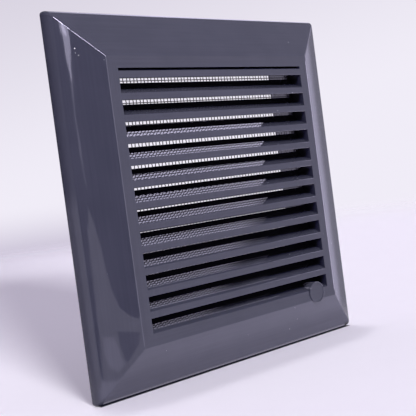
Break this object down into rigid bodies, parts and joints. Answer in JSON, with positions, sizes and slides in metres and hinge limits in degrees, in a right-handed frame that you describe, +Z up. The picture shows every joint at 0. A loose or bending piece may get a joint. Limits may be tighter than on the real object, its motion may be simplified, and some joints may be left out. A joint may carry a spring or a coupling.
{
  "type": "louvred vent",
  "caption": "Square wall vent with fixed sloping slats, a bevelled border with a rolled edge, an insect net behind the slats and a square collar at the back.",
  "frame": {"origin": "centre of the plane that lies against the wall", "axes": "+X to the right seen from the front, +Y back into the wall, +Z up"},
  "size_m": [0.2, 0.0282, 0.2],
  "materials": {
    "graphite_plastic": "glossy moulded surface with crisp edges",
    "net": "dark woven strands"
  },
  "bodies": {
    "root": {"grille": "graphite_plastic", "insect_screen": "net"}
  },
  "joints": []
}
